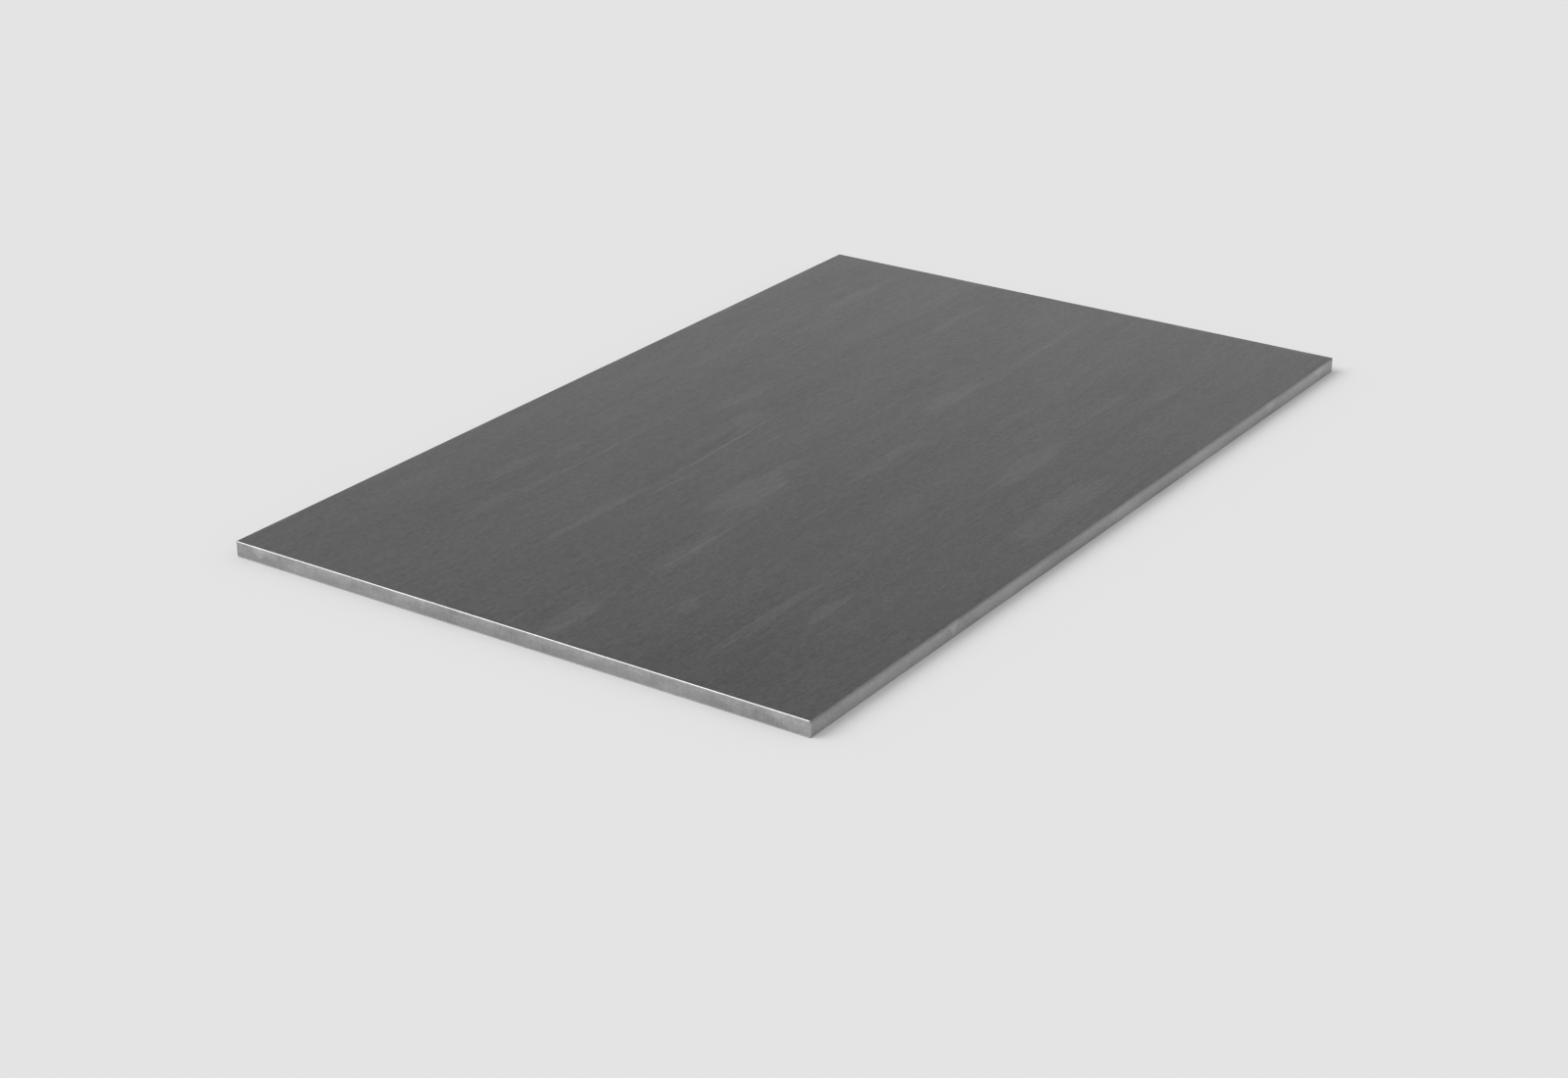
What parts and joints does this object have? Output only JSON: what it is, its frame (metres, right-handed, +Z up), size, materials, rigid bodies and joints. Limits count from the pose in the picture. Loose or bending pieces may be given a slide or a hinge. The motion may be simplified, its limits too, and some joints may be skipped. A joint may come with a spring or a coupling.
{
  "type": "steel plate",
  "caption": "Flat rectangular hot-rolled steel plate with cut, rounded edges: raw stock to be cut, drilled, machined, welded or laid as a bearing plate.",
  "frame": {"origin": "centre of the plate's underside, which rests on the floor", "axes": "+X along the length, which is the rolling direction; +Y across the width; +Z up through the thickness"},
  "size_m": [1.6, 1, 0.025],
  "materials": {
    "mill_steel": "dark grey mill scale, satin, streaked along the length, with paler bare cut edges"
  },
  "bodies": {
    "root": {"steel_plate": "mill_steel"}
  },
  "joints": []
}
